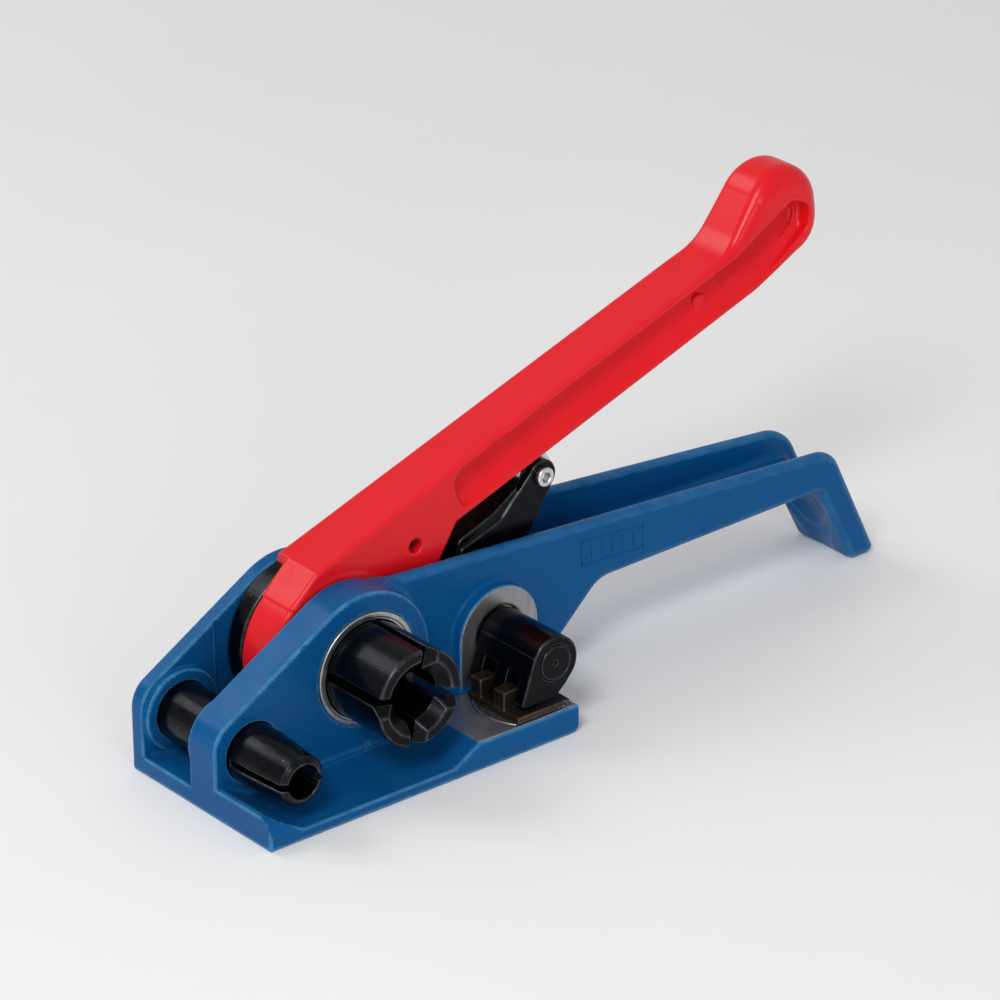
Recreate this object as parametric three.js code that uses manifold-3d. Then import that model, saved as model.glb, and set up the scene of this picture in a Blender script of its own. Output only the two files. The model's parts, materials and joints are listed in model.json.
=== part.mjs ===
// Hand windlass tensioner for strapping band, as an assembly of separate parts.
// Millimetres. X runs from the front nose to the rear hook, Z is up and Z = 0 is the resting plane.
// X = 0 is the windlass axis, and Y = 0 is the middle of the frame. The drum stands out towards -Y.

import * as THREE from 'three';
import { mergeVertices } from 'three/addons/utils/BufferGeometryUtils.js';
import Module from 'manifold-3d';

const wasm = await Module();
wasm.setup();

// ---------- driving dimensions ----------
const GAP = 0.3;                              // clearance between neighbouring pieces
const FAR_AWAY = 200;                         // longer than any cut needs to be

const WINDLASS = { x: 0, z: 36.9 };           // axis of the slotted drum and the lever
const GUIDE = { x: -51.8, z: 21.1 };          // axis of the front guide pin
const GRIPPER = { x: 63.4, z: 29.4 };         // axis of the gripper shaft
const ROLLER = { x: 95, z: 78.3 };            // axis of the roller in the release yoke
const DRIVE_PIVOT = { x: 35.6, z: 68.1 };     // drive pawl pivot, in the lever
const HOLD_PIVOT = { x: 41, z: 29 };          // holding pawl pivot, in the frame

const FRONT_X = -68.8;                        // front face of the frame
const LEDGE_REAR_X = 72.2;                    // rear end of the strap ledge
const LEDGE_Y = -57;                          // outer edge of the strap ledge
const LIP_Z = 11.5;                           // front lip over the ledge
const LEDGE_Z = 4.2;                          // thin middle of the ledge, where the strap runs
const PLATFORM_Z = 11.2;                      // raised platform under the gripper
const FLOOR_Z = 6.6;                          // floor between the walls
const POCKET_Z = 3.6;                         // floor under the lever head

const NEAR_OUT = -25;                         // outer face of the near nose plate
const NEAR_IN = -9.7;
const FAR_IN = 18.5;
const FAR_OUT = 25;
const HANDLE_NEAR_OUT = -17.1;                // outer face of the near handle wall
const HANDLE_NEAR_IN = -11.7;
const HANDLE_FAR_OUT = 22.6;                  // at TAPER_X, from where the far wall draws in
const HANDLE_FAR_IN = 17.2;
const REAR_RADIUS = { near: 12, far: 16 };    // top rear corner of the two handle walls
const TAPER_X = 60;
const TAPER = 7 / 170;                        // draw-in of the far handle wall, mm per mm
const NOSE_BOSS = { x: -0.9, z: 37.1, r: 29.4 };
const NOSE_SLOPE = THREE.MathUtils.degToRad(30.4);
const TOP_Z = 62;                             // handle top line, at TOP_X
const TOP_X = 40;
const TOP_FALL = 0.0663;                      // fall of that line, mm per mm
const UNDER_Z = 32.2;                         // underside of the handle, at its front
const WEB = 5;                                // thickness of the web in the handle

const DRUM_R = 18.65;
const DRUM_END = -55.5;
const SLOT = 3.8;                             // drum slots
const SLOT_TILT = THREE.MathUtils.degToRad(10.5);  // the slots dip to the rear
const SHAFT_R = 12;
const BUSH_R = 21.8;
const GUIDE_R = 11.2;
const GUIDE_END = -55;

const TEETH = 24;
const WHEEL = { tip: 28, root: 24.6, y0: 10.9, y1: 17 };
const GUARD = { r: 30.5, wall: 1.7, y0: 9.6, y1: 18.2, from: 92, to: 300 };

const LEVER_NEAR = -8.8;
const LEVER_FAR = 14.7;                       // at X = 0, from where the far face draws in
const LEVER_TAPER = 0.01;                     // draw-in of that face, mm per mm
const HEAD_FAR = 9;                           // far face of the lever head
const HEAD_R = 31.5;
const ARM_SLOPE = 0.3526;                     // rise of the lever's top face, mm per mm
const ARM_TOP = 74.6;                         // height of that face at X = 0
const ARM_DEPTH = 22.3;                       // measured along Z
const TIP = { x: 214.5, z: 149.7, r: 17.6 };
const HEAD_FRONT_X = -9.2;                    // front end of the lever's top face
const GROOVE_DEPTH = 7;                       // of the side recesses, under their top edge
const GROOVE_RISE = 0.3;                      // outward rise of a recess floor, mm per mm down

const BOSS_FACE = -22;                        // machined face of the gripper boss
const ARM_END = -53.8;
const ARM_R = 10.3;
const PIN_R = 6.8;
const GRIP_SHAFT_R = 8;
const FOOT = { x0: 43.8, x1: 68, y0: -56.3, y1: -27.2, z0: 11.5, z1: 14.3 };
const LUG = { y: [-48.2, -34.9], width: 6, depth: 7.8, top: 21.2 };
const FOOT_PIVOT = { x: 51.2, z: 18.6 };
const ANVIL_R = 21;
const ANVIL_DEPTH = 4.2;
const ROLLER_R = 7.8;
const ROLLER_TRACK = 1.7;                     // depth of the roller's track in the lever's underside
const YOKE = { y0: -9, y1: 7, cheek: 4 };

// ---------- helpers ----------
const rad = THREE.MathUtils.degToRad;

// A closed geometry as a solid, with its shared vertices merged and its faces pointing out.
function solid(geometry) {
  geometry.deleteAttribute('normal');
  geometry.deleteAttribute('uv');
  const merged = mergeVertices(geometry, 1e-4);
  const index = merged.index.array;
  const triangles = [];
  for (let i = 0; i < index.length; i += 3) {
    const [a, b, c] = [index[i], index[i + 1], index[i + 2]];
    if (a !== b && b !== c && c !== a) triangles.push(a, b, c);
  }
  const p = merged.attributes.position;
  const [u, v, w] = [new THREE.Vector3(), new THREE.Vector3(), new THREE.Vector3()];
  let volume = 0;
  for (let i = 0; i < triangles.length; i += 3) {
    u.fromBufferAttribute(p, triangles[i]);
    v.fromBufferAttribute(p, triangles[i + 1]);
    w.fromBufferAttribute(p, triangles[i + 2]);
    volume += u.dot(v.cross(w));
  }
  if (volume < 0) triangles.reverse();
  return new wasm.Manifold(new wasm.Mesh({
    numProp: 3,
    vertProperties: new Float32Array(p.array),
    triVerts: new Uint32Array(triangles),
  }));
}

const join = (...parts) => parts.reduce((a, b) => a.add(b));
const cut = (body, ...tools) => tools.reduce((a, b) => a.subtract(b), body);

// A closed outline through [x, z, radius] corners, each rounded by its radius.
function outline(corners) {
  const shape = new THREE.Shape();
  corners.forEach(([x, z, radius = 0], i) => {
    const corner = new THREE.Vector2(x, z);
    const before = new THREE.Vector2(...corners.at(i - 1)).sub(corner).normalize();
    const after = new THREE.Vector2(...corners[(i + 1) % corners.length]).sub(corner).normalize();
    const half = Math.acos(THREE.MathUtils.clamp(before.dot(after), -1, 1)) / 2;
    const go = i === 0 ? 'moveTo' : 'lineTo';
    if (radius === 0) {
      shape[go](x, z);
      return;
    }
    const start = before.clone().multiplyScalar(radius / Math.tan(half)).add(corner);
    const end = after.clone().multiplyScalar(radius / Math.tan(half)).add(corner);
    const middle = before.clone().add(after).normalize().multiplyScalar(radius / Math.sin(half));
    middle.add(corner);
    const turn = before.x * after.y - before.y * after.x;
    shape[go](start.x, start.y);
    shape.absarc(middle.x, middle.y, radius, Math.atan2(start.y - middle.y, start.x - middle.x),
      Math.atan2(end.y - middle.y, end.x - middle.x), turn > 0);
  });
  shape.closePath();
  return shape;
}

// An X-Z outline pulled along Y from y0 to y1.
function prism(shape, y0, y1, curveSegments = 2) {
  const geometry = new THREE.ExtrudeGeometry(shape, {
    depth: y1 - y0, bevelEnabled: false, curveSegments,
  });
  geometry.rotateX(Math.PI / 2).translate(0, y1, 0);
  return solid(geometry);
}

const plate = (corners, y0, y1, curveSegments) => prism(outline(corners), y0, y1, curveSegments);

function box(x0, y0, z0, x1, y1, z1) {
  const geometry = new THREE.BoxGeometry(x1 - x0, y1 - y0, z1 - z0);
  return solid(geometry.translate((x0 + x1) / 2, (y0 + y1) / 2, (z0 + z1) / 2));
}

// A rod along Y about the axis at, from y0 to y1.
function rod(at, radius, y0, y1, segments = 28) {
  const geometry = new THREE.CylinderGeometry(radius, radius, y1 - y0, segments);
  return solid(geometry.translate(at.x, (y0 + y1) / 2, at.z));
}

// A turned piece about an axis along Y, from [radius, y] points.
function turned(at, profile, segments = 32) {
  const points = profile.map(([r, y]) => new THREE.Vector2(r, y));
  return solid(new THREE.LatheGeometry(points, segments).translate(at.x, 0, at.z));
}

function tube(at, inner, outer, y0, y1, segments = 32) {
  return turned(at, [[inner, y0], [outer, y0], [outer, y1], [inner, y1], [inner, y0]], segments);
}

// A round wire of radius thick along a curve.
function wire(points, thick, steps) {
  const section = new THREE.Shape().absarc(0, 0, thick, 0, 2 * Math.PI);
  return solid(new THREE.ExtrudeGeometry(section, {
    extrudePath: new THREE.CatmullRomCurve3(points), steps, curveSegments: 3,
  }));
}

// Points of a coil whose axis runs through at along Y (axis 'y') or along Z (axis 'z').
function coil(axis, at, radius, from, to, turns, phase = 0) {
  const count = Math.round(turns * 12);
  return Array.from({ length: count + 1 }, (_, i) => {
    const angle = phase + (i / count) * turns * 2 * Math.PI;
    const along = from + ((to - from) * i) / count;
    const [a, b] = [radius * Math.cos(angle), radius * Math.sin(angle)];
    return axis === 'y'
      ? new THREE.Vector3(at.x + a, along, at.z + b)
      : new THREE.Vector3(at.x + a, at.y + b, along);
  });
}

const group = new THREE.Group();

function piece(name, body, [color, roughness, metalness]) {
  const raw = body.getMesh();
  const geometry = new THREE.BufferGeometry();
  geometry.setAttribute('position', new THREE.BufferAttribute(raw.vertProperties, 3));
  geometry.setIndex(new THREE.BufferAttribute(raw.triVerts, 1));
  const mesh = new THREE.Mesh(geometry, new THREE.MeshStandardMaterial({ color, roughness, metalness }));
  mesh.name = name;
  group.add(mesh);
}

const BLUE = [0x104a86, 0.4, 0.1];
const RED = [0xe0262c, 0.25, 0.05];
const BLACK_STEEL = [0x1b1c1f, 0.38, 0.7];
const BRIGHT_STEEL = [0xb9bcc0, 0.35, 0.9];
const BROWN_STEEL = [0x4c4136, 0.5, 0.7];
const BRONZE = [0xa97c45, 0.4, 0.9];
const ZINC = [0xc9ccd2, 0.3, 0.85];

// ---------- frame ----------
const topZ = (x) => TOP_Z - (x - TOP_X) * TOP_FALL;

// Nose plate: slope, round boss over the windlass, then straight down to the base.
function noseShape() {
  const { x, z, r } = NOSE_BOSS;
  const cornerZ = z + r / Math.cos(NOSE_SLOPE) - (x - FRONT_X) * Math.tan(NOSE_SLOPE);
  const corner = outline([[FRONT_X, 0], [x, 0], [x, z], [x - r * Math.sin(NOSE_SLOPE),
    z + r * Math.cos(NOSE_SLOPE)], [FRONT_X, cornerZ, 12]]);
  const boss = outline([[x, 0], [x + r, 0], [x + r, z], [x, z]]);
  return { corner, boss };
}

function nosePlate(y0, y1) {
  const { corner, boss } = noseShape();
  return join(prism(corner, y0, y1), prism(boss, y0, y1), rod(NOSE_BOSS, NOSE_BOSS.r, y0, y1, 48));
}

// Strap ledge: front lip, thin middle, ramp and rear platform. The lip's outer corner is rounded.
function ledge() {
  const side = plate([
    [FRONT_X, 0], [LEDGE_REAR_X, 0, 3], [LEDGE_REAR_X, PLATFORM_Z, 2], [25.9, PLATFORM_Z, 2],
    [14, LEDGE_Z, 4], [-53.5, LEDGE_Z, 10], [-66.6, LIP_Z, 1.2], [FRONT_X, LIP_Z, 0.8],
  ], LEDGE_Y, NEAR_OUT + 1);
  const corner = 6.5;
  const rounding = cut(
    box(FRONT_X - 1, LEDGE_Y - 1, LIP_Z - corner, -40, LEDGE_Y + corner, LIP_Z + 1),
    solid(new THREE.CylinderGeometry(corner, corner, FAR_AWAY, 32).rotateZ(Math.PI / 2)
      .translate(0, LEDGE_Y + corner, LIP_Z - corner)),
  );
  return cut(side, rounding);
}

// Side view of a handle wall. Its top line runs on into the nose boss.
function handleOutline(rearRadius) {
  return [
    [10, 0], [81.6, 0, 3], [116, UNDER_Z, 12], [226, UNDER_Z + 1.8, 3.5], [243.2, 0, 2.5],
    [256.2, 0, 2.5], [233, topZ(233), rearRadius], [-8, topZ(-8), 2], [-8, 40],
  ];
}

// Moves a solid's faces in by the taper of the far handle wall.
function tapered(body) {
  return body.warp((v) => {
    if (v[0] > TAPER_X) v[1] -= (v[0] - TAPER_X) * TAPER;
  });
}

// The handle and the rear body: two walls, a web along the underside and a plate down the hook.
function handle() {
  const rear = box(TAPER_X, -FAR_AWAY, -FAR_AWAY, 2 * FAR_AWAY, FAR_AWAY, FAR_AWAY);
  const walls = (corners, inner, outer) => {
    const body = plate(corners, inner, outer);
    return join(cut(body, rear), tapered(body.intersect(rear)));
  };
  const near = plate(handleOutline(REAR_RADIUS.near), HANDLE_NEAR_OUT, 0);
  const far = walls(handleOutline(REAR_RADIUS.far), -1, HANDLE_FAR_OUT);
  const channel = [
    [-20, FLOOR_Z], [81.4, FLOOR_Z, 8], [114.6, UNDER_Z + WEB, 10],
    [230.5, UNDER_Z + WEB + 1.8, 6], [250.4, -3], [280, -3], [280, 90], [-20, 90],
  ];
  return cut(join(near, far), plate(channel, HANDLE_NEAR_IN, 0.5), walls(channel, 0, HANDLE_FAR_IN));
}

function frameBody() {
  const floor = box(FRONT_X, NEAR_OUT, 0, LEDGE_REAR_X, FAR_OUT, FLOOR_Z);
  const rearBase = plate([[20, 0], [LEDGE_REAR_X, 0, 3], [LEDGE_REAR_X, PLATFORM_Z, 2], [20, PLATFORM_Z]],
    NEAR_OUT - 2, HANDLE_NEAR_OUT + 1);
  const bossSides = plate([
    [GRIPPER.x - 18.4, 5], [GRIPPER.x + 8, 5], [GRIPPER.x + 18.4, GRIPPER.z],
    [GRIPPER.x - 18.4, GRIPPER.z],
  ], BOSS_FACE, HANDLE_NEAR_OUT + 1);
  const body = join(
    ledge(), floor, rearBase, handle(),
    nosePlate(NEAR_OUT, NEAR_IN), nosePlate(FAR_IN, FAR_OUT),
    rod(GUIDE, 16, NEAR_IN - 1, NEAR_IN + 2.2), rod(GUIDE, 16, FAR_IN - 2.3, FAR_IN + 1),
    rod(GRIPPER, 18.4, BOSS_FACE, HANDLE_NEAR_OUT + 1, 40), bossSides,
    rod(GRIPPER, 14, HANDLE_NEAR_IN - 1, HANDLE_NEAR_IN + 2),
    rod(GRIPPER, 14, HANDLE_FAR_IN - 1.7, HANDLE_FAR_IN + 1),
  ).intersect(box(FRONT_X, LEDGE_Y, 0, 260, FAR_OUT, 100));
  return cut(
    body,
    box(-24, NEAR_IN, POCKET_Z, 20, FAR_IN, FLOOR_Z + 1),
    box(-35, NEAR_IN, FLOOR_Z, 45, FAR_IN, 100),
    rod(WINDLASS, BUSH_R + GAP, NEAR_OUT - 1, NEAR_IN + 1, 40),
    rod(WINDLASS, 15.5, FAR_IN - 1, FAR_OUT + 1, 32),
    rod(GUIDE, GUIDE_R + GAP, NEAR_OUT - 1, FAR_OUT + 1, 32),
    rod(GRIPPER, 10.8, BOSS_FACE - 1, FAR_OUT + 1, 32),
    rod(HOLD_PIVOT, 2.8, 10, FAR_OUT + 1, 20),
    anvilBlock(GAP, 1),
    setScrewHole(),
    ...guardScrewPlaces().map((at) => rod(at, 1.7, FAR_IN - 1, FAR_IN + 4.8, 16)),
  );
}

// The set screw enters from the base and meets the guide pin from below.
function setScrewHole() {
  return solid(new THREE.CylinderGeometry(3.3, 3.3, 13, 20).rotateX(Math.PI / 2)
    .translate(GUIDE.x, -17, 5));
}

function setScrew() {
  const socket = new THREE.CylinderGeometry(1.5, 1.5, 4, 6).rotateX(Math.PI / 2);
  return cut(
    solid(new THREE.CylinderGeometry(3, 3, 8, 20).rotateX(Math.PI / 2).translate(GUIDE.x, -17, 5.4)),
    solid(socket.translate(GUIDE.x, -17, 2)),
  );
}

// Hollow front pin, slit along its outer length so that the band can be passed through.
function guidePin() {
  const body = turned(GUIDE, [
    [0, GUIDE_END + 25], [6.5, GUIDE_END + 25], [6.5, GUIDE_END], [9, GUIDE_END],
    [9.8, GUIDE_END + 1.6], [GUIDE_R, GUIDE_END + 7.4], [GUIDE_R, FAR_OUT - 1.4],
    [GUIDE_R - 1, FAR_OUT - 0.4], [0, FAR_OUT - 0.4],
  ], 36);
  const slit = box(GUIDE.x - GUIDE_R - 1, GUIDE_END - 1, GUIDE.z - 1.2,
    GUIDE.x + GUIDE_R + 1, NEAR_OUT - 1.5, GUIDE.z + 1.2);
  return cut(body, slit);
}

// Block under the gripper foot, with a round front edge, let into the platform.
// The pocket for it is larger by the gap all round and open at the top.
function anvilBlock(grow = 0, above = 0) {
  const depth = ANVIL_DEPTH + grow + above;
  const disc = new THREE.CylinderGeometry(ANVIL_R + grow, ANVIL_R + grow, depth, 60)
    .rotateX(Math.PI / 2).translate(60.8, -42, PLATFORM_Z + above - depth / 2);
  return solid(disc).intersect(box(30, -54.6 - grow, 0, 67.5 + grow, -28.5 + grow, 20));
}

// ---------- windlass ----------
function windlassShaft() {
  const shoulder = NEAR_IN - 0.2;
  const body = turned(WINDLASS, [
    [0, -20.5], [9.75, -20.5], [9.75, DRUM_END + 3.9], [14.4, DRUM_END], [DRUM_R - 1.3, DRUM_END],
    [DRUM_R, DRUM_END + 1.3], [DRUM_R, shoulder], [SHAFT_R, shoulder], [SHAFT_R, 27],
    [10.8, 26.95], [10.8, 28.35], [SHAFT_R, 28.3], [SHAFT_R, 29.2], [SHAFT_R - 1, 30.2], [0, 30.2],
  ], 48);
  const slots = [0, Math.PI / 2].map((quarter) => solid(
    new THREE.BoxGeometry(2 * DRUM_R + 4, 31, SLOT).rotateY(SLOT_TILT + quarter)
      .translate(WINDLASS.x, DRUM_END + 15.2, WINDLASS.z)));
  return cut(body, ...slots, keyBlock(0.25));
}

function keyBlock(grow) {
  const { x, z } = WINDLASS;
  return box(x - 2 - grow, WHEEL.y0 - 0.2 - grow, z + 9.6 - grow,
    x + 2 + grow, WHEEL.y1 + grow, z + 14.4 + grow);
}

// Saw teeth: each rises from its root along the turn and drops at its driven face.
function ratchetWheel() {
  const shape = new THREE.Shape();
  for (let i = 0; i < TEETH; i += 1) {
    const from = (2 * Math.PI * i) / TEETH;
    const to = (2 * Math.PI * (i + 0.97)) / TEETH;
    shape[i === 0 ? 'moveTo' : 'lineTo'](WHEEL.root * Math.cos(from), WHEEL.root * Math.sin(from));
    shape.lineTo(WHEEL.tip * Math.cos(to - 0.03), WHEEL.tip * Math.sin(to - 0.03));
    shape.lineTo(WHEEL.tip * Math.cos(to), WHEEL.tip * Math.sin(to));
  }
  shape.closePath();
  const wheel = prism(shape, WHEEL.y0, WHEEL.y1).translate([WINDLASS.x, 0, WINDLASS.z]);
  return cut(wheel, rod(WINDLASS, SHAFT_R + GAP, 0, 30, 32), keyBlock(0.25));
}

// Sector of a disc about the windlass axis, in degrees from +X towards +Z.
function sector(radius, from, to, y0, y1) {
  const shape = new THREE.Shape().moveTo(0, 0);
  shape.absarc(0, 0, radius, rad(from), rad(to), false);
  shape.closePath();
  return prism(shape, y0, y1, 14).translate([WINDLASS.x, 0, WINDLASS.z]);
}

// The two guard screws, on a circle just outside the guard's rim.
const guardScrewPlaces = () => [212, 240].map((angle) => ({
  x: WINDLASS.x + 34 * Math.cos(rad(angle)), z: WINDLASS.z + 34 * Math.sin(rad(angle)),
}));

// Pressed cup over the front of the ratchet wheel, screwed to the far wall by two ears.
function ratchetGuard() {
  const { r, wall, y0, y1, from, to } = GUARD;
  const cup = cut(
    sector(r, from, to, y0, y1),
    rod(WINDLASS, r - wall, y0 + 1, y1 + 1, 48), rod(WINDLASS, 15.8, y0 - 1, y1, 32),
  );
  const ears = guardScrewPlaces().map((at) => cut(
    rod(at, 3.6, y1 - 1.1, y1, 24), rod(WINDLASS, r - wall / 2, 0, 30, 48)));
  return cut(join(cup, ...ears), ...guardScrewPlaces().map((at) => rod(at, 1.8, 0, 30, 16)));
}

function guardScrew(at) {
  return turned(at, [
    [0, 22.6], [1.4, 22.6], [1.4, 16.8], [2.6, 16.8], [2.6, 15.9], [1.8, 15.2], [0, 15.2],
  ], 20);
}

// Split ring in a shaft groove; the gap faces down.
function circlip(at, inner, outer, y0, y1) {
  return cut(tube(at, inner, outer, y0, y1, 28),
    box(at.x - 2.4, y0 - 1, at.z - outer - 2, at.x + 2.4, y1 + 1, at.z - inner + 1));
}

// ---------- lever ----------
const armTop = (x) => ARM_TOP + ARM_SLOPE * x;

function lever() {
  const armUnder = (x) => armTop(x) - ARM_DEPTH;
  const arm = plate([
    [HEAD_FRONT_X, armTop(HEAD_FRONT_X), 1.5], [184, armTop(184), 26], [TIP.x - 17.2, TIP.z + 3.5],
    [TIP.x, TIP.z], [TIP.x + 8, TIP.z - 15.5], [200, armUnder(200), 30], [55.1, armUnder(55.1), 3],
    [46.8, 58.5], [30, 30], [WINDLASS.x, WINDLASS.z], [-20.8, 60.6],
  ], LEVER_NEAR, LEVER_FAR);
  const head = rod(WINDLASS, HEAD_R, LEVER_NEAR, HEAD_FAR, 48);
  const bulb = turned(TIP, [
    [0, LEVER_NEAR], [TIP.r - 4, LEVER_NEAR], [TIP.r - 1.2, LEVER_NEAR + 1.6],
    [TIP.r, LEVER_NEAR + 5], [TIP.r, LEVER_FAR - 5], [TIP.r - 1.2, LEVER_FAR - 1.6],
    [TIP.r - 4, LEVER_FAR], [0, LEVER_FAR],
  ], 32);
  const body = join(join(arm, bulb).warp((v) => {
    if (v[1] > HEAD_FAR) v[1] -= LEVER_TAPER * v[0];
  }), head);
  return cut(
    body,
    ...armGrooves(),
    pawlPocket(),
    box(-60, HEAD_FAR, 0, HEAD_FRONT_X, LEVER_FAR + 1, 100),
    rollerTrack(),
    rod(WINDLASS, HEAD_R + 0.3, HEAD_FAR, LEVER_FAR + 1, 48).intersect(
      box(-60, HEAD_FAR, 0, 60, LEVER_FAR + 1, 67)),
    rod(WINDLASS, 15 + GAP, LEVER_NEAR - 1, HEAD_FAR + 1, 32),
    rod(DRIVE_PIVOT, 2.9, LEVER_NEAR - 1, HEAD_FAR + 1, 20),
  );
}

// Recess along each side of the arm, between thin top and bottom edges. It is deepest under its top
// edge and its floor comes out towards the bottom edge. On the near side it is deeper at the tip.
function armGrooves() {
  const groove = (x0, inset) => [
    [x0, armTop(x0) - 2.6, 7], [190, armTop(190) - 3, 12], [217, 154.5, 5], [226.8, 150, 5],
    [224.6, 141, 6], [203, armTop(203) - ARM_DEPTH + 2, 12],
    [x0 + inset, armTop(x0 + inset) - ARM_DEPTH + 2, 6],
  ];
  const deep = [
    [186, armTop(186) - 4.4], [190, armTop(190) - 4.4, 12], [216, 151.5, 3], [223.5, 147.5, 3],
    [221.5, 142.6, 5], [203, armTop(203) - ARM_DEPTH + 5, 10], [187.5, armTop(187.5) - ARM_DEPTH + 5],
  ];
  const sloped = (body, floorY, outwards) => body.warp((v) => {
    if (Math.abs(v[1] - floorY) < 0.01) v[1] += outwards * GROOVE_RISE * (armTop(v[0]) - v[2]);
  });
  const nearFloor = LEVER_NEAR + GROOVE_DEPTH;
  const farFloor = LEVER_FAR - GROOVE_DEPTH;
  return [
    sloped(plate(groove(52.5, 5.5), LEVER_NEAR - 3, nearFloor), nearFloor, -1),
    sloped(plate(groove(60, 5.5), farFloor, LEVER_FAR + 3), farFloor, 1),
    plate(deep, LEVER_NEAR - 1, nearFloor + 1.4),
  ];
}

// Shallow track in the lever's underside for the release roller.
function rollerTrack() {
  const floorZ = (x) => armTop(x) - ARM_DEPTH + ROLLER_TRACK;
  return plate([[78, floorZ(78) - 6], [128, floorZ(128) - 6], [128, floorZ(128)], [78, floorZ(78)]],
    YOKE.y0 + YOKE.cheek - 0.6, YOKE.y1 - YOKE.cheek + 0.6);
}

// Room for the drive pawl, under the top skin on the far side of the head.
function pawlPocket() {
  const skin = 4.2;
  return plate([
    [-60, armTop(-60) - skin], [49, armTop(49) - skin], [52, 60], [40, 20], [-60, 0],
  ], HEAD_FAR, LEVER_FAR + 1);
}

// ---------- pawls ----------
function drivePawl() {
  const body = plate([
    [30.4, 69.5], [27.8, 51.6], [28.2, 44.1], [31, 41.4], [33.6, 47], [40.5, 64.2], [46, 69.5], [44.5, 73.6],
    [35.6, 73.6],
  ], 9.9, 16.4);
  return cut(join(body, rod(DRIVE_PIVOT, 5.6, 9.9, 16.4, 28)), rod(DRIVE_PIVOT, 2.9, 5, 20, 20));
}

function holdingPawl() {
  const body = plate([
    [41, 34], [31.2, 28.2], [24.8, 22.3], [27.4, 18.4], [41, 24],
  ], WHEEL.y0, WHEEL.y1);
  return cut(join(body, rod(HOLD_PIVOT, 5, WHEEL.y0, WHEEL.y1, 28)), rod(HOLD_PIVOT, 2.8, 5, 20, 20));
}

// ---------- gripper ----------
// Round shaft whose outer end shows in the arm's end face.
function gripperShaft() {
  return turned(GRIPPER, [
    [0, ARM_END - 0.4], [PIN_R - 0.5, ARM_END - 0.4], [PIN_R, ARM_END], [PIN_R, BOSS_FACE],
    [GRIP_SHAFT_R, BOSS_FACE], [GRIP_SHAFT_R, 23.9], [6.9, 23.9], [6.9, 25.3], [GRIP_SHAFT_R, 25.3],
    [GRIP_SHAFT_R - 0.8, 26.6], [0, 26.6],
  ], 32);
}

// Teardrop arm over the foot: round about the shaft, with a tail down to the foot's lugs.
function gripperArm() {
  const { x, z } = GRIPPER;
  const tail = plate([
    [x - 9.6, z + 4.4], [47.4, 15.2, 1.5], [58.6, 14.7], [63.8, 15.6, 1.5], [68.6, 19.6],
    [x + 9.4, z - 4.2], [x, z + 6],
  ], ARM_END, BOSS_FACE - 0.4);
  const lugRoom = LUG.y.map((y) => box(40, y - GAP - 0.1, 10, 52.4, y + LUG.width + GAP + 0.1, 26.6));
  return cut(
    join(rod(GRIPPER, ARM_R, ARM_END, BOSS_FACE - 0.4, 36), tail),
    rod(GRIPPER, PIN_R + GAP, ARM_END - 1, BOSS_FACE, 32),
    ...lugRoom,
    rod(FOOT_PIVOT, 1.5 + GAP, -52, -27.5, 16),
  );
}

// Serrated steel foot: a flat plate with two upright lugs at its front edge.
function gripperFoot() {
  const { x0, x1, y0, y1, z0, z1 } = FOOT;
  const sole = plate([[x0, z0], [x1 - 5, z0], [x1, z0 + 1.9], [x1, z1], [x0, z1]], y0, y1);
  const lugs = LUG.y.map((y) => box(x0, y, z1 - 1, x0 + LUG.depth, y + LUG.width, LUG.top));
  return cut(join(sole, ...lugs), rod(FOOT_PIVOT, 1.5 + GAP, -60, -20, 16));
}

function releaseYoke() {
  const { y0, y1, cheek } = YOKE;
  const side = [
    [51.6, 34], [56.6, 60.2, 3], [75.4, 66.6, 5], [90.4, 82], [ROLLER.x + 6, ROLLER.z - 2],
    [88.6, 57], [75, 26],
  ];
  const spine = [
    [51.6, 36], [56, 63.6, 3], [72.8, 69.8, 4], [84, 77], [83, 71.5], [74.6, 63.2, 4], [62, 58, 4], [58, 40],
  ];
  const cheeks = [[y0, y0 + cheek], [y1 - cheek, y1]].map(([a, b]) => cut(
    join(plate(side, a, b), rod(ROLLER, 6.2, a, b, 32)), rod(ROLLER, 3.2 + GAP, a - 1, b + 1, 20)));
  return cut(
    join(...cheeks, plate(spine, y0 + 1, y1 - 1), rod(GRIPPER, 12.5, y0, y1, 32)),
    rod(GRIPPER, GRIP_SHAFT_R + GAP, y0 - 1, y1 + 1, 32), crossPin(2 + GAP),
  );
}

// Cross pin through the yoke hub and the gripper shaft.
function crossPin(radius, length = 24.4) {
  return solid(new THREE.CylinderGeometry(radius, radius, length, 12).rotateX(Math.PI / 2)
    .translate(GRIPPER.x, -1, GRIPPER.z));
}

function rollerScrew() {
  const { y0, y1 } = YOKE;
  return cut(
    turned(ROLLER, [[0, y0 - 2.2], [3.1, y0 - 2.2], [3.8, y0 - 1.5], [3.8, y0 - 0.3], [3.2, y0 - 0.3],
      [3.2, y1 + 4.4], [0, y1 + 4.4]], 28),
    solid(new THREE.CylinderGeometry(2, 2, 3, 6).translate(ROLLER.x, y0 - 2.2, ROLLER.z)),
  );
}

function rollerNut() {
  const nut = new THREE.CylinderGeometry(5.6, 5.6, 4, 6).translate(ROLLER.x, YOKE.y1 + 2.3, ROLLER.z);
  return cut(solid(nut), rod(ROLLER, 3.2 + GAP, 0, 20, 20));
}

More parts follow.
